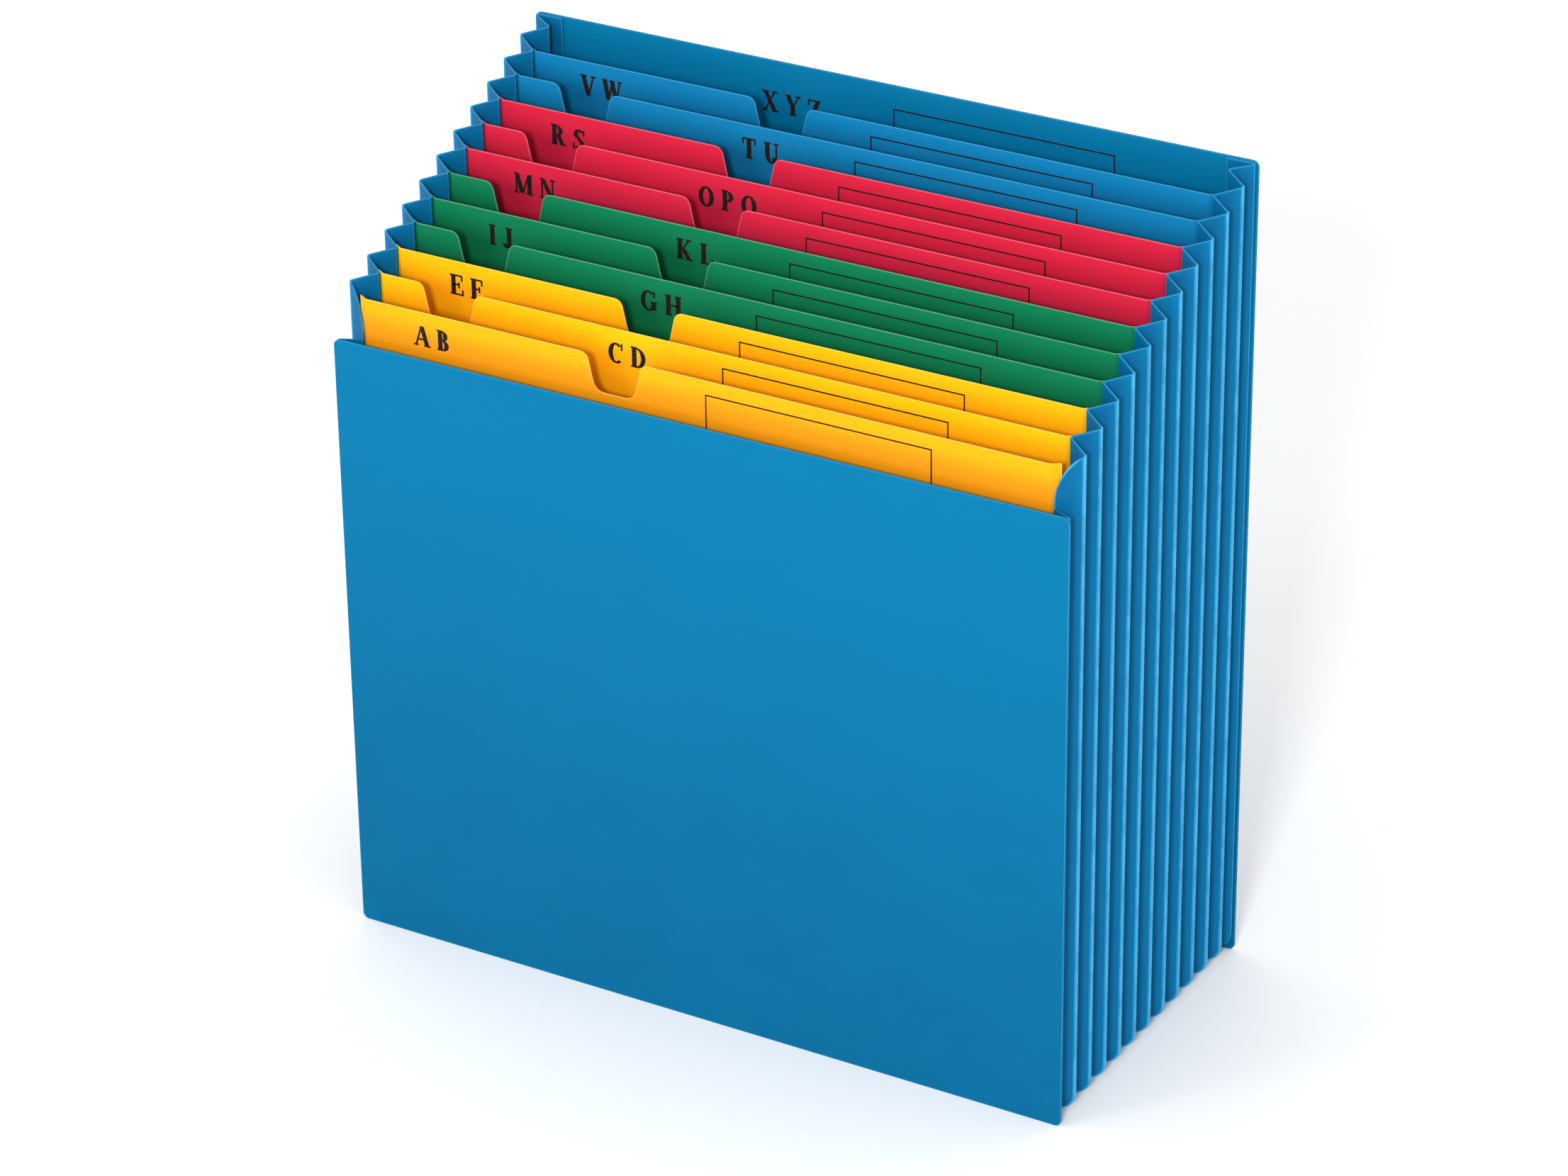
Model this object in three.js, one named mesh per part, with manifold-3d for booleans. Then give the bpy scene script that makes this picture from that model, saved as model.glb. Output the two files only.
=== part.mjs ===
// Alphabetical project file: an open-topped expanding file whose pockets step up towards the back.
// It has a low front cover, a tall back cover, one pleated gusset folded round both sides and the
// base, and eleven coloured dividers whose narrow side flanges are glued inside the pleats.
// Units are millimetres. +Z is up, the front cover faces -Y, and the origin is the middle of the base.
import * as THREE from "three";
import { mergeVertices } from "three/addons/utils/BufferGeometryUtils.js";
import Module from "manifold-3d";

const wasm = await Module();
wasm.setup();

// Overall sizes.
const WIDTH = 298;
const DEPTH = 140;
const FRONT_HEIGHT = 241;
const BACK_HEIGHT = 319;

// Card thicknesses, and the glue line between two cards that are stuck together.
const COVER_CARD = 0.8;
const GUSSET_CARD = 0.5;
const DIVIDER_CARD = 0.4;
const GLUE_LINE = 0.3;
const CREASE_FLAT = 1.1;
const STRAIGHT_HALF_FOLD = 1.5;

// Covers.
const COVER_CORNER = 2.5;

// Gusset: a strip folded in and out twelve times between the covers.
const PLEAT_COUNT = 12;
const PLEAT_INSET = 9.3;
const GUSSET_FRONT_HEIGHT = 254;
const GUSSET_FLAP = 12;
const FLAP_TOP_GAP = 0.5;
const OUTER_CORNER = 7;
const INNER_CORNER = 1.5;
const CORNER_STEPS = 6;
const CUT_REACH = 0.92;
const CUT_STEPS = 8;

// Dividers.
const DIVIDER_COUNT = 11;
const FLANGE_REACH = 0.18;
const FLANGE_BOTTOM = 16;
const BEND_CLEARANCE = 0.6;

// The finger cut-out in each divider's top edge, which shows the letters on the sheet behind.
const CUT_OUT_TOP = 22.5;
const CUT_OUT_FLOOR = 16;
const CUT_OUT_DEPTH = 14.2;
const CUT_OUT_ROUND = 3;
const CUT_OUT_FILLET = 4;
const CUT_OUT_CENTRE_ODD = -33.7;
const CUT_OUT_CENTRE_EVEN = -110;
const CURVE_STEPS = 6;
const CUTTER_OVERRUN = 5;
const WELD_DISTANCE = 1e-4;

// Finish and colours of the card.
const MATT = 0.6;
const BLUE = 0x0081b7;
const YELLOW = 0xfdbb13;
const GREEN = 0x00704a;
const RED = 0xd31c40;
const DIVIDER_COLOURS = [YELLOW, YELLOW, YELLOW, GREEN, GREEN, GREEN, RED, RED, RED, BLUE, BLUE];

const HALF_WIDTH = WIDTH / 2;
const FRONT_FACE = -DEPTH / 2;
const BACK_FACE = DEPTH / 2;
const PITCH = DEPTH / PLEAT_COUNT;
const PLEAT_HALF_ANGLE = Math.atan(PITCH / 2 / PLEAT_INSET);
const GUSSET_SEAT = COVER_CARD + GLUE_LINE + GUSSET_CARD / 2;

// How far back a place in the pleats is. Whole numbers are outer folds, halves are inner folds.
function foldY(fold) {
  return FRONT_FACE + fold * PITCH;
}

// Height of the sloping line that the tops of the folds follow.
function topLine(fold) {
  return GUSSET_FRONT_HEIGHT + ((BACK_HEIGHT - GUSSET_FRONT_HEIGHT) * fold) / PLEAT_COUNT;
}

// A point on the pleats in plan: x is the distance in from the side, y the place front to back.
function pleatPoint(fold) {
  const fromOuter = Math.abs(fold - Math.round(fold));
  return new THREE.Vector2(PLEAT_INSET * 2 * fromOuter, foldY(fold));
}

// Turns each fold of a line into a crease, a short flat a little wider than the card is thick.
function creased(line, card) {
  const result = [line[0]];
  for (let i = 1; i < line.length - 1; i += 1) {
    const before = line[i - 1].clone().sub(line[i]).normalize();
    const after = line[i + 1].clone().sub(line[i]).normalize();
    const halfFold = Math.acos(THREE.MathUtils.clamp(before.dot(after), -1, 1)) / 2;
    if (halfFold > STRAIGHT_HALF_FOLD) {
      result.push(line[i]);
      continue;
    }
    const setback = (CREASE_FLAT * card) / (2 * Math.sin(halfFold));
    result.push(line[i].clone().addScaledVector(before, setback));
    result.push(line[i].clone().addScaledVector(after, setback));
  }
  result.push(line[line.length - 1]);
  return result;
}

// Closed anticlockwise outline of a card of the given thickness whose middle runs along a line.
function cardOutline(line, card) {
  const normals = [];
  for (let i = 1; i < line.length; i += 1) {
    const along = line[i].clone().sub(line[i - 1]).normalize();
    normals.push(new THREE.Vector2(-along.y, along.x));
  }
  const left = [];
  const right = [];
  line.forEach((point, i) => {
    const first = normals[Math.max(i - 1, 0)];
    const second = normals[Math.min(i, normals.length - 1)];
    const mitre = first.clone().add(second).divideScalar(1 + first.dot(second));
    left.push(point.clone().addScaledVector(mitre, card / 2));
    right.push(point.clone().addScaledVector(mitre, -card / 2));
  });
  const outline = [...left, ...right.reverse()];
  return THREE.ShapeUtils.isClockWise(outline) ? outline.reverse() : outline;
}

// Closed solid through a row of rings of 3-D points that all share one flat outline's triangles.
function loft(rings, outline) {
  const size = outline.length;
  const positions = rings.flat().flatMap((point) => [point.x, point.y, point.z]);
  const last = (rings.length - 1) * size;
  const index = [];
  for (const [a, b, c] of THREE.ShapeUtils.triangulateShape(outline, [])) {
    index.push(a, b, c);
    index.push(last + a, last + c, last + b);
  }
  for (let ring = 0; ring < rings.length - 1; ring += 1) {
    for (let i = 0; i < size; i += 1) {
      const j = (i + 1) % size;
      const here = ring * size;
      const next = here + size;
      index.push(here + i, next + i, here + j);
      index.push(here + j, next + i, next + j);
    }
  }
  const geometry = new THREE.BufferGeometry();
  geometry.setAttribute("position", new THREE.Float32BufferAttribute(positions, 3));
  geometry.setIndex(index);
  return geometry;
}

// Cuts closed tool geometries out of a closed body.
function cutOut(body, tools) {
  let solid = toSolid(body);
  for (const tool of tools) {
    solid = solid.subtract(toSolid(tool));
  }
  const mesh = solid.getMesh();
  const geometry = new THREE.BufferGeometry();
  geometry.setAttribute("position", new THREE.BufferAttribute(mesh.vertProperties, 3));
  geometry.setIndex(new THREE.BufferAttribute(mesh.triVerts, 1));
  return geometry;
}

function toSolid(geometry) {
  const plain = geometry.clone();
  plain.deleteAttribute("normal");
  plain.deleteAttribute("uv");
  const merged = mergeVertices(plain, WELD_DISTANCE);
  return new wasm.Manifold(new wasm.Mesh({
    numProp: 3,
    vertProperties: new Float32Array(merged.attributes.position.array),
    triVerts: new Uint32Array(merged.index.array),
  }));
}

// A cover is a flat card with slightly rounded corners, standing on its long edge.
function coverGeometry(height, frontFace) {
  const radius = COVER_CORNER;
  const shape = new THREE.Shape();
  shape.absarc(HALF_WIDTH - radius, radius, radius, -Math.PI / 2, 0);
  shape.absarc(HALF_WIDTH - radius, height - radius, radius, 0, Math.PI / 2);
  shape.absarc(-HALF_WIDTH + radius, height - radius, radius, Math.PI / 2, Math.PI);
  shape.absarc(-HALF_WIDTH + radius, radius, radius, Math.PI, Math.PI * 1.5);
  const options = { depth: COVER_CARD, bevelEnabled: false, curveSegments: CURVE_STEPS };
  const geometry = new THREE.ExtrudeGeometry(shape, options);
  geometry.rotateX(Math.PI / 2);
  geometry.translate(0, frontFace + COVER_CARD, 0);
  return geometry;
}

// Middle line of the gusset in plan: a glued flap, the zigzag of pleats, and the other flap.
function gussetLine() {
  const frontSeat = FRONT_FACE + GUSSET_SEAT;
  const backSeat = BACK_FACE - GUSSET_SEAT;
  const line = [new THREE.Vector2(GUSSET_FLAP, frontSeat), new THREE.Vector2(0, frontSeat)];
  line.push(pleatPoint(0.5));
  for (let step = CUT_STEPS; step > 0; step -= 1) {
    line.push(pleatPoint(1 - (0.5 * CUT_REACH * step) / CUT_STEPS));
  }
  for (let fold = 1; fold < PLEAT_COUNT; fold += 0.5) {
    line.push(pleatPoint(fold));
  }
  line.push(new THREE.Vector2(0, backSeat), new THREE.Vector2(GUSSET_FLAP, backSeat));
  return line;
}

// Top edge of the gusset: it follows the sloping line, and on the first pleat it is cut away in a
// quarter ellipse, from the outer fold down to the front cover's top at the inner fold.
function gussetTop(point) {
  const fold = (point.y - FRONT_FACE) / PITCH;
  if (fold >= 1) {
    return topLine(fold);
  }
  const lowest = FRONT_HEIGHT - FLAP_TOP_GAP;
  if (fold <= 0.5) {
    return lowest;
  }
  const outer = pleatPoint(1);
  const face = pleatPoint(0.5).sub(outer);
  const along = THREE.MathUtils.clamp(point.clone().sub(outer).dot(face) / face.lengthSq(), 0, 1);
  return topLine(fold) - (topLine(0.5) - lowest) * (1 - Math.sqrt(1 - along * along));
}

// A point on the right-hand base corner, on an outline that lies inset from the outside.
function cornerPoint(inset, radius, angle) {
  const x = HALF_WIDTH - inset - radius + radius * Math.sin(angle);
  const z = inset + radius - radius * Math.cos(angle);
  return new THREE.Vector2(x, z);
}

// The gusset runs down the left side, round the corner, along the base and up the right side.
function gussetGeometry() {
  const outline = cardOutline(creased(gussetLine(), GUSSET_CARD), GUSSET_CARD);
  const side = (sign) => outline.map((point) => (
    new THREE.Vector3(sign * (HALF_WIDTH - point.x), point.y, gussetTop(point))
  ));
  const corner = (sign, angle) => {
    const outer = cornerPoint(0, OUTER_CORNER, angle);
    const inner = cornerPoint(PLEAT_INSET, INNER_CORNER, angle);
    return outline.map((point) => {
      const place = outer.clone().lerp(inner, point.x / PLEAT_INSET);
      return new THREE.Vector3(sign * place.x, point.y, place.y);
    });
  };
  const angles = Array.from({ length: CORNER_STEPS + 1 }, (_, i) => ((i / CORNER_STEPS) * Math.PI) / 2);
  const rightCorner = angles.map((angle) => corner(1, angle));
  const leftCorner = angles.map((angle) => corner(-1, angle)).reverse();
  return loft([side(-1), ...leftCorner, ...rightCorner, side(1)], outline);
}

// Middle line of a divider in plan. At each end of the flat sheet a flange bends back along the inside
// of one pleat face, where it is glued, and stops short of the outer fold.
function dividerLine(fold) {
  const clearance = (GUSSET_CARD + DIVIDER_CARD) / 2 + GLUE_LINE;
  const shift = clearance / Math.sin(PLEAT_HALF_ANGLE);
  const rightEnd = [fold, fold + FLANGE_REACH].map((place) => {
    const point = pleatPoint(place);
    return new THREE.Vector2(HALF_WIDTH - point.x - shift, point.y);
  });
  const leftEnd = rightEnd.map((point) => new THREE.Vector2(-point.x, point.y)).reverse();
  return [...leftEnd, ...rightEnd];
}

// Outline of the finger cut-out: rounded where it leaves the top edge and filleted at its floor.
function cutOutShape(centre, top) {
  const floor = top - CUT_OUT_DEPTH;
  const slope = new THREE.Vector2((CUT_OUT_TOP - CUT_OUT_FLOOR) / 2, CUT_OUT_DEPTH).normalize();
  const upper = CUT_OUT_TOP / 2;
  const lower = CUT_OUT_FLOOR / 2;
  const shape = new THREE.Shape();
  shape.moveTo(centre + upper + CUT_OUT_ROUND, top + CUTTER_OVERRUN);
  shape.lineTo(centre - upper - CUT_OUT_ROUND, top + CUTTER_OVERRUN);
  shape.lineTo(centre - upper - CUT_OUT_ROUND, top);
  shape.quadraticCurveTo(
    centre - upper, top,
    centre - upper + slope.x * CUT_OUT_ROUND, top - slope.y * CUT_OUT_ROUND,
  );
  shape.lineTo(centre - lower - slope.x * CUT_OUT_FILLET, floor + slope.y * CUT_OUT_FILLET);
  shape.quadraticCurveTo(centre - lower, floor, centre - lower + CUT_OUT_FILLET, floor);
  shape.lineTo(centre + lower - CUT_OUT_FILLET, floor);
  shape.quadraticCurveTo(
    centre + lower, floor,
    centre + lower + slope.x * CUT_OUT_FILLET, floor + slope.y * CUT_OUT_FILLET,
  );
  shape.lineTo(centre + upper - slope.x * CUT_OUT_ROUND, top - slope.y * CUT_OUT_ROUND);
  shape.quadraticCurveTo(centre + upper, top, centre + upper + CUT_OUT_ROUND, top);
  return shape;
}

// A slab through the file, front to back, in the form of a shape drawn in the plane of the covers.
function slabThrough(shape) {
  const options = { depth: DEPTH, bevelEnabled: false, curveSegments: CURVE_STEPS };
  const geometry = new THREE.ExtrudeGeometry(shape, options);
  geometry.rotateX(Math.PI / 2);
  geometry.translate(0, BACK_FACE, 0);
  return geometry;
}

function rectangle(left, right, bottom, top) {
  const corners = [[left, bottom], [right, bottom], [right, top], [left, top]];
  return new THREE.Shape(corners.map(([x, z]) => new THREE.Vector2(x, z)));
}

// A divider is one folded sheet that stands on the inner fold of the base pleats.
function dividerGeometry(number) {
  const fold = number - 0.5;
  const bottom = PLEAT_INSET + GLUE_LINE;
  const top = topLine(fold);
  const line = dividerLine(fold);
  const outline = cardOutline(creased(line, DIVIDER_CARD), DIVIDER_CARD);
  const ring = (z) => outline.map((point) => new THREE.Vector3(point.x, point.y, z));
  const sheet = loft([ring(top), ring(bottom)], outline);
  const sheetEnd = line[2].x - BEND_CLEARANCE;
  const centre = number % 2 === 1 ? CUT_OUT_CENTRE_ODD : CUT_OUT_CENTRE_EVEN;
  const below = bottom - CUTTER_OVERRUN;
  const outside = HALF_WIDTH + CUTTER_OVERRUN;
  return cutOut(sheet, [
    slabThrough(cutOutShape(centre, top)),
    slabThrough(rectangle(sheetEnd, outside, below, FLANGE_BOTTOM)),
    slabThrough(rectangle(-outside, -sheetEnd, below, FLANGE_BOTTOM)),
  ]);
}

function card(name, geometry, colour) {
  const material = new THREE.MeshStandardMaterial({ color: colour, roughness: MATT, metalness: 0 });
  const mesh = new THREE.Mesh(geometry, material);
  mesh.name = name;
  return mesh;
}

const group = new THREE.Group();
group.add(card("front_cover", coverGeometry(FRONT_HEIGHT, FRONT_FACE), BLUE));
group.add(card("back_cover", coverGeometry(BACK_HEIGHT, BACK_FACE - COVER_CARD), BLUE));
group.add(card("pleated_gusset", gussetGeometry(), BLUE));
for (let number = 1; number <= DIVIDER_COUNT; number += 1) {
  group.add(card(`divider_${number}`, dividerGeometry(number), DIVIDER_COLOURS[number - 1]));
}

export default group;
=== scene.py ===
"""Alphabetical project file in blue, yellow, green and red card, standing open on a pale table.

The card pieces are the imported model's own nodes with paper finishes. What is added is the ink of the
index, which is printed on the front of each divider and of the back cover. Lengths are in metres."""
import math

import bmesh
import bpy
from mathutils import Matrix, Vector


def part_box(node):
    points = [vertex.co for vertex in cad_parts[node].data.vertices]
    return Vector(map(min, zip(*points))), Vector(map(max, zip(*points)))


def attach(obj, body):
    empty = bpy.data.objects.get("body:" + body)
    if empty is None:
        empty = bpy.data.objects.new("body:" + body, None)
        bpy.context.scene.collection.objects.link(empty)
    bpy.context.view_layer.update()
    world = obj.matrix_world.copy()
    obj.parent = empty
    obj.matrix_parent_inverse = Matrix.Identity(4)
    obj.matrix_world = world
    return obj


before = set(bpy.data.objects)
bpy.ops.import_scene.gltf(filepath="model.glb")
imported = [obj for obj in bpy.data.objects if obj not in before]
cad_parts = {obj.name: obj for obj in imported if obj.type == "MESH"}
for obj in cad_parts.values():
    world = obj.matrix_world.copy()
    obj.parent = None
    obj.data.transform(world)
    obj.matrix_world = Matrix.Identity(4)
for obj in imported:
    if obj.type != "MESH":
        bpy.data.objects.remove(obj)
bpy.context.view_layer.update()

MM = 0.001
# The whole file's width, and the radius of its outer folds at the base corners.
WIDTH = 298 * MM
OUTER_CORNER = 7 * MM

# The first divider's stock is the yellow with painted shade.
DIVIDER_STOCKS = ["front_yellow_painted_shade"] + ["yellow"] * 2 + ["green"] * 3 + ["red"] * 3 + ["blue"] * 2
INDEX = ["AB", "CD", "EF", "GH", "IJ", "KL", "MN", "OPQ", "RS", "TU", "VW", "XYZ"]
# Painted shade deepens a divider's colour below its top, which stands out of its pocket: shares of its
# height.
PAINTED_SHADE_FROM, PAINTED_SHADE_TO = 0.955, 0.992
# A Mix node's sockets for colours, by number, because several of them share a name.
MIX_SHARE, MIX_FIRST, MIX_SECOND, MIX_RESULT = 0, 6, 7, 2
COLOURS = {"data_type": "RGBA"}
SMOOTH = {"interpolation_type": "SMOOTHSTEP"}


def linear(code):
    """An sRGB hex colour as linear red, green, blue and alpha."""
    channels = [int(code[i:i + 2], 16) / 255 for i in (1, 3, 5)]
    return [c / 12.92 if c <= 0.04045 else ((c + 0.055) / 1.055) ** 2.4 for c in channels] + [1.0]


def add(tree, kind, inputs=None, output=0, **settings):
    """Adds a node with its own settings, gives each input a value or a link, and returns one output."""
    node = tree.nodes.new(kind)
    for name, value in settings.items():
        setattr(node, name, value)
    for socket, value in (inputs or {}).items():
        if isinstance(value, bpy.types.NodeSocket):
            tree.links.new(value, node.inputs[socket])
        else:
            node.inputs[socket].default_value = value
    return node.outputs[output]


def sheet_material(name, roughness, specular):
    """A new dielectric sheet material: the material, its node tree and its shader."""
    material = bpy.data.materials.new(name)
    material.use_nodes = True
    shader = material.node_tree.nodes["Principled BSDF"]
    shader.inputs["Roughness"].default_value = roughness
    shader.inputs["Specular IOR Level"].default_value = specular
    shader.inputs["IOR"].default_value = 1.5
    return material, material.node_tree, shader


def fibres(tree, place, across, along, detail):
    """Paper fibres as noise, with its grains that long in X and that tall in Z."""
    grain = add(tree, "ShaderNodeVectorMath", {0: place, 1: (1 / along, 1 / across, 1 / across)},
                operation="MULTIPLY")
    return add(tree, "ShaderNodeTexNoise", {"Vector": grain, "Scale": 1.0, "Detail": detail,
                                            "Roughness": 0.6})


def edge_highlight_mask(tree, reach, start, end):
    """How close a point is to a sharp edge, as the mask of a painted highlight: 1 at the edge and 0 once the
    rounded normal is the true one.
    """
    rounded = add(tree, "ShaderNodeBevel", {"Radius": reach}, samples=2)
    true = add(tree, "ShaderNodeNewGeometry", output="Normal")
    agree = add(tree, "ShaderNodeVectorMath", {0: rounded, 1: true}, "Value", operation="DOT_PRODUCT")
    return add(tree, "ShaderNodeMapRange", {"Value": agree, "From Min": start, "From Max": end}, **SMOOTH)


def cover_board():
    """Calendered pressboard, dyed through: a blue with very faint clouds and a fine tooth, with painted
    light that makes it a little lighter towards the top, and a painted highlight along the knife-cut edges."""
    material, tree, shader = sheet_material("blue_pressboard", 0.6, 0.06)
    place = add(tree, "ShaderNodeTexCoord", output="Object")
    height = add(tree, "ShaderNodeSeparateXYZ", {0: place}, "Z")
    # Painted light: the blue is a little lighter towards the top, where more light falls.
    painted_cover_light = add(tree, "ShaderNodeMapRange", {"Value": height, "From Max": 260 * MM}, **SMOOTH)
    dye_with_painted_light = add(tree, "ShaderNodeMix", {MIX_SHARE: painted_cover_light, MIX_FIRST: linear("#005D86"),
                                      MIX_SECOND: linear("#006B96")}, MIX_RESULT, **COLOURS)
    # The clouds are flocs of pulp, about 8 mm across on the real board, and drawn at 20 to 30 mm so
    # that they show.
    clouds = add(tree, "ShaderNodeMapRange", {"Value": fibres(tree, place, 20 * MM, 30 * MM, 3.0),
                                              "From Min": 0.3, "From Max": 0.7, "To Max": 0.12}, **SMOOTH)
    face = add(tree, "ShaderNodeMix", {MIX_SHARE: clouds, MIX_FIRST: dye_with_painted_light,
                                       MIX_SECOND: linear("#00719F")}, MIX_RESULT, **COLOURS)
    # Painted highlight: a pale line along the knife-cut edges, where light catches them.
    colour = add(tree, "ShaderNodeMix", {MIX_SHARE: edge_highlight_mask(tree, 0.6 * MM, 0.97, 0.8), MIX_FIRST: face,
                                         MIX_SECOND: linear("#3DA0CF")}, MIX_RESULT, **COLOURS)
    tree.links.new(colour, shader.inputs["Base Color"])
    # The tooth is 0.3 mm on the real board, and drawn at 0.8 mm so that it shows.
    tooth = add(tree, "ShaderNodeBump", {"Height": fibres(tree, place, 0.8 * MM, 1.1 * MM, 2.0),
                                         "Distance": 0.04 * MM, "Strength": 0.2})
    tree.links.new(tooth, shader.inputs["Normal"])
    return material


def gusset_paper():
    """Tough pleated paper, dyed blue, with a painted highlight along the outer folds and the cut top, and
    painted shade that deepens its colour down in the creases."""
    material, tree, shader = sheet_material("blue_gusset_paper", 0.55, 0.08)
    place = add(tree, "ShaderNodeTexCoord", output="Object")
    across = add(tree, "ShaderNodeSeparateXYZ", {0: place}, "X")
    height = add(tree, "ShaderNodeSeparateXYZ", {0: place}, "Z")
    # The depth is how far inside the outer folds a point lies, at the sides, along the base and round
    # its corners.
    side = add(tree, "ShaderNodeMath", {0: across}, operation="ABSOLUTE")
    past_side = add(tree, "ShaderNodeMath", {0: side, 1: WIDTH / 2 - OUTER_CORNER}, operation="SUBTRACT")
    past_base = add(tree, "ShaderNodeMath", {0: OUTER_CORNER, 1: height}, operation="SUBTRACT")
    outward = add(tree, "ShaderNodeMath", {0: past_side, 1: 0.0}, operation="MAXIMUM")
    downward = add(tree, "ShaderNodeMath", {0: past_base, 1: 0.0}, operation="MAXIMUM")
    reach = add(tree, "ShaderNodeCombineXYZ", {"X": outward, "Z": downward})
    length = add(tree, "ShaderNodeVectorMath", {0: reach}, "Value", operation="LENGTH")
    depth = add(tree, "ShaderNodeMath", {0: OUTER_CORNER, 1: length}, operation="SUBTRACT")
    # Painted shade: the blue deepens down in the creases, where less light reaches.
    crease = add(tree, "ShaderNodeMapRange", {"Value": depth, "From Min": 1.5 * MM, "From Max": 4.5 * MM},
                 **SMOOTH)
    shade = add(tree, "ShaderNodeMix", {MIX_SHARE: crease, MIX_FIRST: linear("#006A9A"),
                                        MIX_SECOND: linear("#006190")}, MIX_RESULT, **COLOURS)
    # The cockle, the painted highlight's breaks and the waves are as long along a fold and as far apart as
    # the real ones.
    cockle = add(tree, "ShaderNodeMapRange", {"Value": fibres(tree, place, 16 * MM, 5 * MM, 2.0),
                                              "From Min": 0.35, "From Max": 0.7, "To Max": 0.2}, **SMOOTH)
    face = add(tree, "ShaderNodeMix", {MIX_SHARE: cockle, MIX_FIRST: shade,
                                       MIX_SECOND: linear("#005A86")}, MIX_RESULT, **COLOURS)
    # Painted highlight: pale along the outer folds, broken up by noise, and along the cut top.
    fold = add(tree, "ShaderNodeMapRange", {"Value": depth, "From Min": 1.3 * MM, "From Max": 0.35 * MM},
               **SMOOTH)
    highlight_breaks = add(tree, "ShaderNodeMapRange", {"Value": fibres(tree, place, 9 * MM, 4 * MM, 4.0),
                                            "From Min": 0.3, "From Max": 0.65,
                                            "To Min": 0.5, "To Max": 0.9}, **SMOOTH)
    fold_highlight = add(tree, "ShaderNodeMath", {0: fold, 1: highlight_breaks}, operation="MULTIPLY")
    painted_fold_highlight = add(tree, "ShaderNodeMath", {0: fold_highlight, 1: edge_highlight_mask(tree, 0.5 * MM, 0.95, 0.75)},
               operation="MAXIMUM")
    colour = add(tree, "ShaderNodeMix", {MIX_SHARE: painted_fold_highlight, MIX_FIRST: face,
                                         MIX_SECOND: linear("#48AADA")}, MIX_RESULT, **COLOURS)
    tree.links.new(colour, shader.inputs["Base Color"])
    waves = add(tree, "ShaderNodeBump", {"Height": fibres(tree, place, 12 * MM, 4 * MM, 3.0),
                                         "Distance": 0.4 * MM, "Strength": 0.3})
    tree.links.new(waves, shader.inputs["Normal"])
    return material


def divider_card(colour, face, shade, edge_highlight):
    """Uncoated index card, dyed through: its fibres lie along the sheet and show as faint streaks, a painted
    highlight runs along the guillotined edges, and painted shade makes the colour deeper lower down."""
    material, tree, shader = sheet_material(f"{colour}_index_card", 0.7, 0.15)
    place = add(tree, "ShaderNodeTexCoord", output="Object")
    shares = add(tree, "ShaderNodeTexCoord", output="Generated")
    share_of_height = add(tree, "ShaderNodeSeparateXYZ", {0: shares}, "Z")
    # Painted shade: the colour deepens lower down, where the pocket shades the card.
    painted_shade_ramp = add(tree, "ShaderNodeMapRange", {"Value": share_of_height, "From Min": PAINTED_SHADE_FROM,
                                             "From Max": PAINTED_SHADE_TO}, **SMOOTH)
    body = add(tree, "ShaderNodeMix", {MIX_SHARE: painted_shade_ramp, MIX_FIRST: linear(shade),
                                       MIX_SECOND: linear(face)}, MIX_RESULT, **COLOURS)
    # The fibres are 2 mm long and 0.02 mm thick, and are drawn at 9 by 0.6 mm so that they show.
    streaks = fibres(tree, place, 0.6 * MM, 9 * MM, 3.0)
    grain = add(tree, "ShaderNodeMapRange", {"Value": streaks, "From Min": 0.35, "From Max": 0.75,
                                             "To Max": 0.35}, **SMOOTH)
    grained = add(tree, "ShaderNodeMix", {MIX_SHARE: grain, MIX_FIRST: body,
                                          MIX_SECOND: linear(shade)}, MIX_RESULT, **COLOURS)
    # Painted highlight: a pale line along the guillotined edges, where light catches them.
    finish = add(tree, "ShaderNodeMix", {MIX_SHARE: edge_highlight_mask(tree, 0.7 * MM, 0.97, 0.75), MIX_FIRST: grained,
                                         MIX_SECOND: linear(edge_highlight)}, MIX_RESULT, **COLOURS)
    tree.links.new(finish, shader.inputs["Base Color"])
    relief = add(tree, "ShaderNodeBump", {"Height": streaks, "Distance": 0.06 * MM, "Strength": 0.3})
    tree.links.new(relief, shader.inputs["Normal"])
    return material


def index_ink():
    """Black offset ink, a thin matt film that the card shows through a little where it lies thin."""
    material, tree, shader = sheet_material("black_index_ink", 0.6, 0.15)
    place = add(tree, "ShaderNodeTexCoord", output="Object")
    # The mottle is 0.1 mm across in the real film, and drawn at 0.6 mm so that it shows.
    thin = add(tree, "ShaderNodeMapRange", {"Value": fibres(tree, place, 0.6 * MM, 0.6 * MM, 2.0),
                                            "From Min": 0.35, "From Max": 0.75}, **SMOOTH)
    colour = add(tree, "ShaderNodeMix", {MIX_SHARE: thin, MIX_FIRST: linear("#120E0C"),
                                         MIX_SECOND: linear("#2A1E18")}, MIX_RESULT, **COLOURS)
    tree.links.new(colour, shader.inputs["Base Color"])
    return material


# Index capitals, one unit tall, drawn from bars, level rules and bowls with a thick and a thin pen.
THICK, THIN = 0.25, 0.1
RULE = 0.09
BOWL_STEPS = 12
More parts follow.
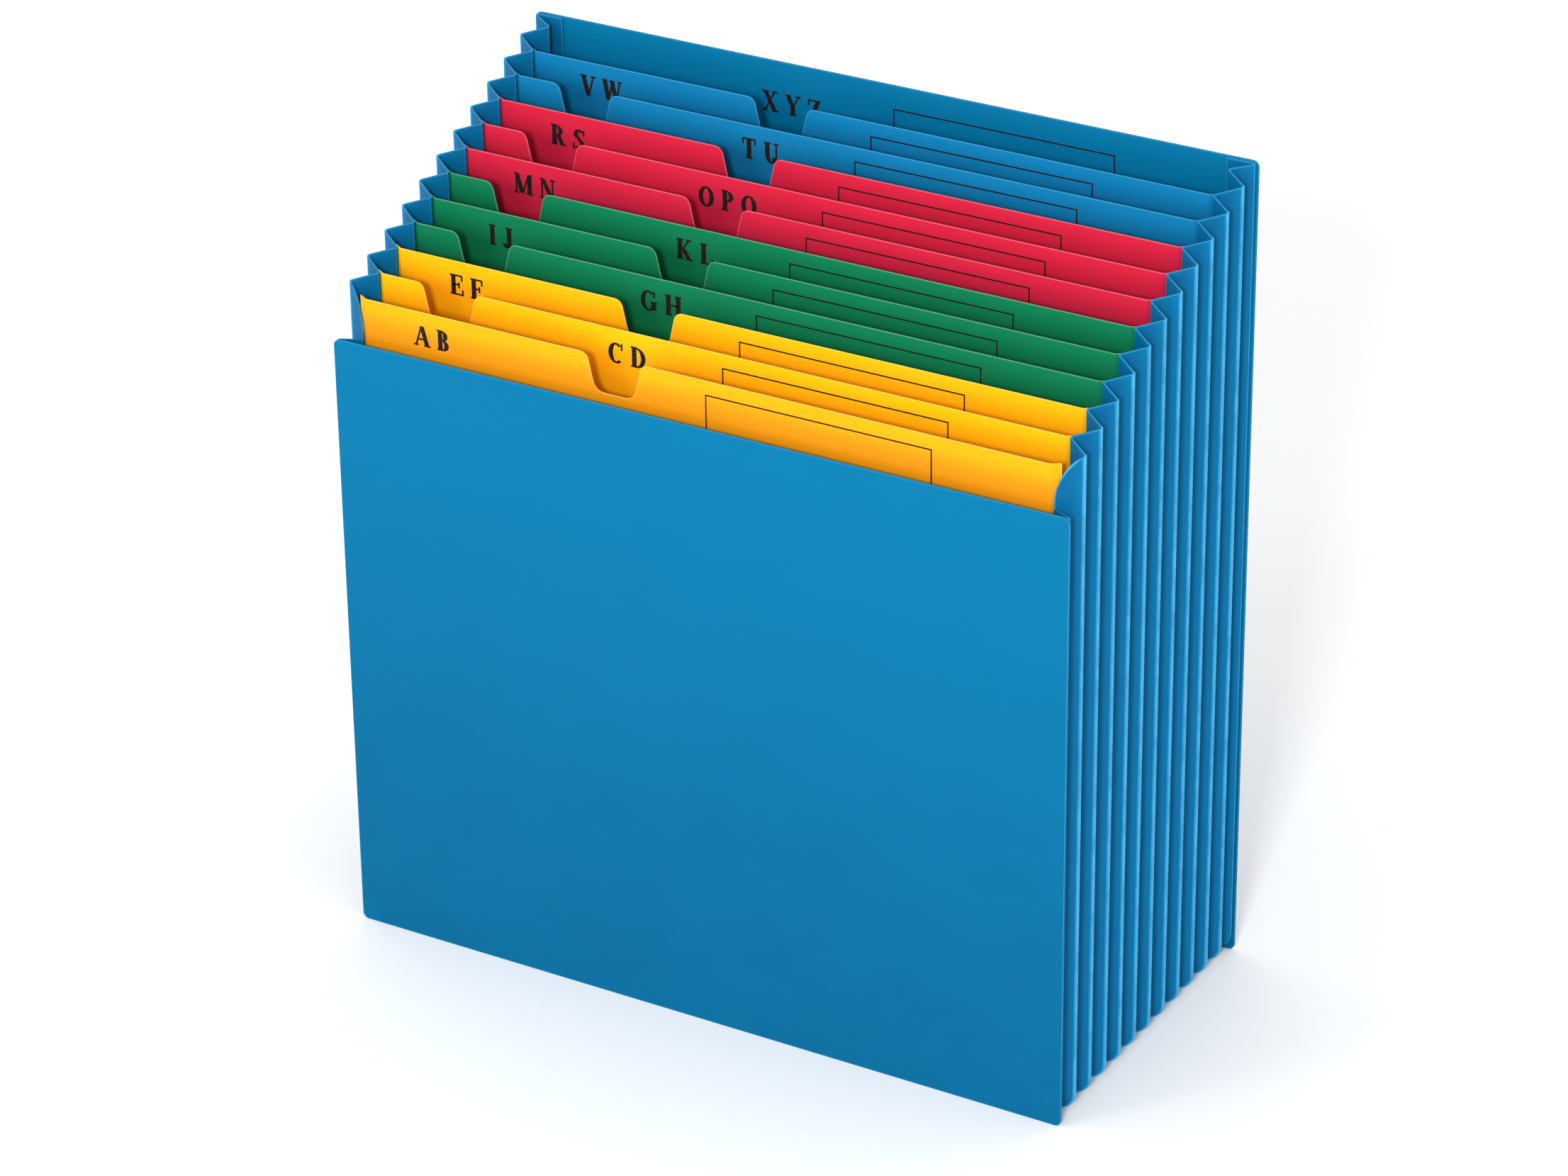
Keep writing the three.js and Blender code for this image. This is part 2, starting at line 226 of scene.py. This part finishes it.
# Bars are (x at the foot, x at the head, thickness, foot height, head height), rules are (left, right,
# height) and bowls are (centre x, centre z, reach x, reach z, first angle, last angle). A letter is its
# bars, its rules, its bowls and its width.
FULL_STEM = (0.2, 0.2, THICK, 0, 1)
CAPITALS = {
    "A": ([(0.10, 0.42, THIN, 0, 1), (0.72, 0.44, THICK, 0, 1)],
          [(0.2, 0.62, 0.3), (-0.02, 0.24, 0), (0.54, 0.9, 0)], [], 0.88),
    "B": ([FULL_STEM], [(0.02, 0.36, 0), (0.02, 0.36, 0.94), (0.2, 0.36, 0.49)],
          [(0.34, 0.745, 0.27, 0.255, -90, 90), (0.34, 0.275, 0.32, 0.275, -90, 90)], 0.7),
    "C": ([(0.72, 0.72, THIN, 0.66, 1)], [], [(0.42, 0.5, 0.42, 0.52, 48, 312)], 0.82),
    "D": ([FULL_STEM], [(0.02, 0.36, 0), (0.02, 0.36, 0.94)], [(0.34, 0.5, 0.46, 0.5, -90, 90)], 0.84),
    "E": ([FULL_STEM, (0.66, 0.66, THIN, 0.72, 1), (0.5, 0.5, THIN, 0.36, 0.66), (0.7, 0.7, THIN, 0, 0.3)],
          [(0.02, 0.68, 0.94), (0.2, 0.5, 0.48), (0.02, 0.72, 0)], [], 0.76),
    "F": ([FULL_STEM, (0.64, 0.64, THIN, 0.72, 1), (0.5, 0.5, THIN, 0.36, 0.66)],
          [(0.02, 0.66, 0.94), (0.2, 0.5, 0.48), (0.02, 0.4, 0)], [], 0.7),
    "G": ([(0.72, 0.72, THIN, 0.68, 1), (0.7, 0.7, THICK, 0.06, 0.42)], [(0.52, 0.88, 0.4)],
          [(0.42, 0.5, 0.42, 0.52, 48, 325)], 0.92),
    "H": ([FULL_STEM, (0.72, 0.72, THICK, 0, 1)],
          [(0.02, 0.38, 0), (0.02, 0.38, 0.94), (0.54, 0.9, 0), (0.54, 0.9, 0.94), (0.2, 0.72, 0.48)],
          [], 0.92),
    "I": ([FULL_STEM], [(0.02, 0.38, 0), (0.02, 0.38, 0.94)], [], 0.4),
    "J": ([(0.36, 0.36, THICK, 0.2, 1)], [(0.18, 0.54, 0.94)], [(0.22, 0.21, 0.235, 0.23, 180, 360)], 0.56),
    "K": ([FULL_STEM, (0.28, 0.68, THIN, 0.42, 1), (0.7, 0.38, THICK, 0, 0.56)],
          [(0.02, 0.38, 0), (0.02, 0.38, 0.94), (0.52, 0.82, 0.94), (0.52, 0.88, 0)], [], 0.9),
    "L": ([FULL_STEM, (0.66, 0.66, THIN, 0, 0.32)], [(0.02, 0.38, 0.94), (0.02, 0.68, 0)], [], 0.72),
    "M": ([(0.14, 0.14, THIN, 0, 1), (0.46, 0.18, THICK, 0.04, 1), (0.48, 0.82, THIN, 0.04, 1),
           (0.86, 0.86, THICK, 0, 1)],
          [(0, 0.28, 0), (0.02, 0.26, 0.94), (0.68, 1.04, 0), (0.8, 1.02, 0.94)], [], 1.06),
    "N": ([(0.14, 0.14, THIN, 0, 1), (0.7, 0.18, THICK, 0, 1), (0.72, 0.72, THIN, 0, 1)],
          [(0, 0.28, 0), (0.02, 0.24, 0.94), (0.58, 0.86, 0.94)], [], 0.88),
    "O": ([], [], [(0.42, 0.5, 0.42, 0.52, 0, 360)], 0.86),
    "P": ([FULL_STEM], [(0.02, 0.38, 0), (0.02, 0.36, 0.94), (0.2, 0.36, 0.44)],
          [(0.34, 0.72, 0.32, 0.28, -90, 90)], 0.7),
    "Q": ([(0.72, 0.44, THICK, -0.2, 0.16)], [], [(0.42, 0.5, 0.42, 0.52, 0, 360)], 0.88),
    "R": ([FULL_STEM, (0.66, 0.42, THICK, 0, 0.48)],
          [(0.02, 0.38, 0), (0.02, 0.36, 0.94), (0.2, 0.36, 0.44), (0.5, 0.84, 0)],
          [(0.34, 0.72, 0.32, 0.28, -90, 90)], 0.84),
    "S": ([(0.52, 0.22, 0.24, 0.34, 0.68), (0.62, 0.62, THIN, 0.7, 1), (0.06, 0.06, THIN, 0, 0.3)], [],
          [(0.36, 0.745, 0.29, 0.275, 30, 215), (0.36, 0.265, 0.31, 0.285, -150, 35)], 0.72),
    "T": ([(0.4, 0.4, THICK, 0, 1), (0.08, 0.08, THIN, 0.72, 1), (0.72, 0.72, THIN, 0.72, 1)],
          [(0.05, 0.75, 0.94), (0.22, 0.58, 0)], [], 0.82),
    "U": ([(0.2, 0.2, THICK, 0.3, 1), (0.68, 0.68, THIN, 0.3, 1)], [(0.02, 0.38, 0.94), (0.54, 0.82, 0.94)],
          [(0.41, 0.32, 0.305, 0.34, 180, 360)], 0.86),
    "V": ([(0.44, 0.18, THICK, 0, 1), (0.46, 0.72, THIN, 0, 1)],
          [(0, 0.36, 0.94), (0.58, 0.88, 0.94)], [], 0.86),
    "W": ([(0.34, 0.14, THICK, 0, 1), (0.36, 0.56, THIN, 0, 1), (0.76, 0.54, THICK, 0, 1),
           (0.78, 0.98, THIN, 0, 1)], [(-0.02, 0.3, 0.94), (0.4, 0.7, 0.94), (0.86, 1.1, 0.94)], [], 1.1),
    "X": ([(0.7, 0.18, THICK, 0, 1), (0.14, 0.68, THIN, 0, 1)],
          [(0.52, 0.88, 0), (0, 0.36, 0.94), (0, 0.28, 0), (0.54, 0.84, 0.94)], [], 0.88),
    "Y": ([(0.42, 0.42, THICK, 0, 0.46), (0.42, 0.16, THICK, 0.42, 1), (0.44, 0.72, THIN, 0.42, 1)],
          [(0.24, 0.6, 0), (0, 0.34, 0.94), (0.58, 0.86, 0.94)], [], 0.84),
    "Z": ([(0.16, 0.6, THICK, 0, 1), (0.08, 0.08, THIN, 0.72, 1), (0.7, 0.7, THIN, 0, 0.28)],
          [(0.05, 0.68, 0.94), (0.06, 0.74, 0)], [], 0.78),
}

# Places of the print: how far from the middle of a sheet, and how far below its top.
LETTER_HEIGHT = 7.8 * MM
LETTER_GAP = 2.8 * MM
LETTER_DROP = 5.4 * MM
ODD_LETTERS_X, EVEN_LETTERS_X = -110.2 * MM, -35.4 * MM
BOX_LEFT, BOX_RIGHT = 3.4 * MM, 93.2 * MM
BOX_DROP, BOX_TALL, BOX_LINE = 5.2 * MM, 25 * MM, 0.55 * MM
BACK_LETTERS_X = -38.9 * MM
BACK_LETTER_DROP, BACK_BOX_DROP = 12.3 * MM, 8.9 * MM
INK_FILM = 0.02 * MM
# Strokes take turns on a few thin layers, so that most of those that cross don't share a plane.
INK_LAYER, INK_LAYERS = 0.002 * MM, 5


def capital_outlines(letter):
    """The letter's outlines in the plane of the sheet, in units of its height."""
    bars, rules, bowls, _ = CAPITALS[letter]
    outlines = []
    for foot, head, thick, low, high in bars:
        outlines.append([(foot - thick / 2, low), (foot + thick / 2, low),
                         (head + thick / 2, high), (head - thick / 2, high)])
    for left, right, low in rules:
        outlines.append([(left, low), (right, low), (right, low + RULE), (left, low + RULE)])
    for x, z, reach_x, reach_z, first, last in bowls:
        angles = [math.radians(first + (last - first) * i / BOWL_STEPS) for i in range(BOWL_STEPS + 1)]
        outer = [(x + reach_x * math.cos(a), z + reach_z * math.sin(a)) for a in angles]
        inner = [(x + (reach_x - THICK) * math.cos(a), z + (reach_z - THIN) * math.sin(a)) for a in angles]
        for i in range(BOWL_STEPS):
            outlines.append([outer[i], outer[i + 1], inner[i + 1], inner[i]])
    return outlines


def index_outlines(letters, centre):
    """The outlines of one sheet's letters, with their tops at height 0 and centred on an x."""
    widths = [CAPITALS[letter][3] * LETTER_HEIGHT for letter in letters]
    x = centre - (sum(widths) + LETTER_GAP * (len(letters) - 1)) / 2
    outlines = []
    for letter, width in zip(letters, widths):
        for outline in capital_outlines(letter):
            outlines.append([(x + u * LETTER_HEIGHT, (v - 1) * LETTER_HEIGHT) for u, v in outline])
        x += width + LETTER_GAP
    return outlines


def label_box_outlines():
    """The four ruled lines of the box for a written label, with its top at height 0."""
    below_top, above_foot = -BOX_LINE, BOX_LINE - BOX_TALL
    rules = [(BOX_LEFT, BOX_RIGHT, below_top, 0.0), (BOX_LEFT, BOX_RIGHT, -BOX_TALL, above_foot),
             (BOX_LEFT, BOX_LEFT + BOX_LINE, above_foot, below_top),
             (BOX_RIGHT - BOX_LINE, BOX_RIGHT, above_foot, below_top)]
    return [[(left, low), (right, low), (right, high), (left, high)] for left, right, low, high in rules]


def print_index(number, letters, sheet_top, sheet_front, centre, drops, ink):
    """Prints the letters and the label box on a sheet's front, as films of ink that lie the two drops
    below its top."""
    mesh = bmesh.new()
    films = [(outline, sheet_top - drops[0]) for outline in index_outlines(letters, centre)]
    films += [(outline, sheet_top - drops[1]) for outline in label_box_outlines()]
    for layer, (outline, top) in enumerate(films):
        y = sheet_front - INK_FILM - (layer % INK_LAYERS) * INK_LAYER
        mesh.faces.new([mesh.verts.new((x, y, top + z)) for x, z in outline])
    bmesh.ops.recalc_face_normals(mesh, faces=mesh.faces)
    for face in mesh.faces:
        if face.normal.y > 0:
            face.normal_flip()
    data = bpy.data.meshes.new(f"index_print_{number}")
    mesh.to_mesh(data)
    mesh.free()
    data.materials.append(ink)
    film = bpy.data.objects.new(f"index_print_{number}", data)
    bpy.context.scene.collection.objects.link(film)
    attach(film, "root")


def finish_card():
    """Gives each packed card its stock, and prints the index on the dividers and the back cover."""
    # The first divider takes a deeper copy of the yellow: painted shade against the extra light it catches.
    stocks = {
        "front_yellow_painted_shade": divider_card("front_yellow_painted_shade", "#EEA800", "#E28C06", "#FFD070"),
        "yellow": divider_card("yellow", "#F2BA00", "#EEA200", "#FFD870"),
        "green": divider_card("green", "#00784D", "#006840", "#7FBF98"),
        "red": divider_card("red", "#CE1C3C", "#B81838", "#F08A94"),
        "blue": divider_card("blue", "#0077AB", "#006594", "#4FB0DC"),
    }
    board = cover_board()
    ink = index_ink()
    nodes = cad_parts
    finishes = {"front_cover": board, "back_cover": board, "pleated_gusset": gusset_paper()}
    for number, colour in enumerate(DIVIDER_STOCKS, start=1):
        name = f"divider_{number}"
        finishes[name] = stocks[colour]
        low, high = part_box(name)
        letters_x = ODD_LETTERS_X if number % 2 else EVEN_LETTERS_X
        print_index(number, INDEX[number - 1], high.z, low.y, letters_x, (LETTER_DROP, BOX_DROP), ink)
    low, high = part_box("back_cover")
    print_index(len(INDEX), INDEX[-1], high.z, low.y, BACK_LETTERS_X, (BACK_LETTER_DROP, BACK_BOX_DROP),
                ink)
    for name, material in finishes.items():
        nodes[name].data.materials.clear()
        nodes[name].data.materials.append(material)


TABLE_REACH = 12.0
LIT_SPOT = (0, 0, 0.2)


def lay_table():
    """A plain pale table, far wider than the picture."""
    material, _, shader = sheet_material("pale_table", 0.9, 0.05)
    shader.inputs["Base Color"].default_value = linear("#FBFBFB")
    data = bpy.data.meshes.new("table_top")
    corners = [(-TABLE_REACH, -TABLE_REACH, 0), (TABLE_REACH, -TABLE_REACH, 0),
               (TABLE_REACH, TABLE_REACH, 0), (-TABLE_REACH, TABLE_REACH, 0)]
    data.from_pydata(corners, [], [(0, 1, 2, 3)])
    data.materials.append(material)
    table = bpy.data.objects.new("table_top", data)
    bpy.context.scene.collection.objects.link(table)


def hang_softbox(name, place, side, watts):
    """A square soft light that points at the middle of the file."""
    lamp = bpy.data.lights.new(name, "AREA")
    lamp.shape = "SQUARE"
    lamp.size, lamp.energy = side, watts
    box = bpy.data.objects.new(name, lamp)
    bpy.context.scene.collection.objects.link(box)
    box.location = place
    box.rotation_mode = "QUATERNION"
    box.rotation_quaternion = (Vector(LIT_SPOT) - Vector(place)).to_track_quat("-Z", "Y")


def light_studio():
    """White surroundings, a soft main light just left of the camera and a weak one from the far left."""
    world = bpy.data.worlds.new("white_studio")
    world.use_nodes = True
    background = world.node_tree.nodes["Background"]
    background.inputs["Color"].default_value = (1, 1, 1, 1)
    background.inputs["Strength"].default_value = 0.97
    bpy.context.scene.world = world
    hang_softbox("main_softbox", place=(1.2, -3.3, 1.8), side=0.5, watts=76)
    hang_softbox("left_softbox", place=(-2.0, -3.1, 1.6), side=0.9, watts=22)


CAMERA_PLACE = (0.9052, -1.5393, 1.0675)
# Degrees round to the right of the front, degrees down from level, and degrees of roll. The lens is in
# millimetres.
CAMERA_TURN = (30.56, 27.29, -0.65)
SENSOR_WIDTH, FOCAL_LENGTH = 36, 126.6


def set_camera():
    """The photograph's viewing angle: from the right, a little above, with a long lens."""
    data = bpy.data.cameras.new("view")
    data.sensor_width = SENSOR_WIDTH
    data.lens = FOCAL_LENGTH
    data.clip_start, data.clip_end = 0.01, 100
    camera = bpy.data.objects.new("view", data)
    bpy.context.scene.collection.objects.link(camera)
    azimuth, tilt, roll = [math.radians(angle) for angle in CAMERA_TURN]
    turn = Matrix.Rotation(azimuth, 4, "Z") @ Matrix.Rotation(math.pi / 2 - tilt, 4, "X")
    camera.matrix_world = Matrix.Translation(CAMERA_PLACE) @ turn @ Matrix.Rotation(roll, 4, "Z")
    bpy.context.scene.camera = camera


finish_card()
lay_table()
light_studio()
set_camera()
bpy.context.scene.view_settings.view_transform = "Standard"
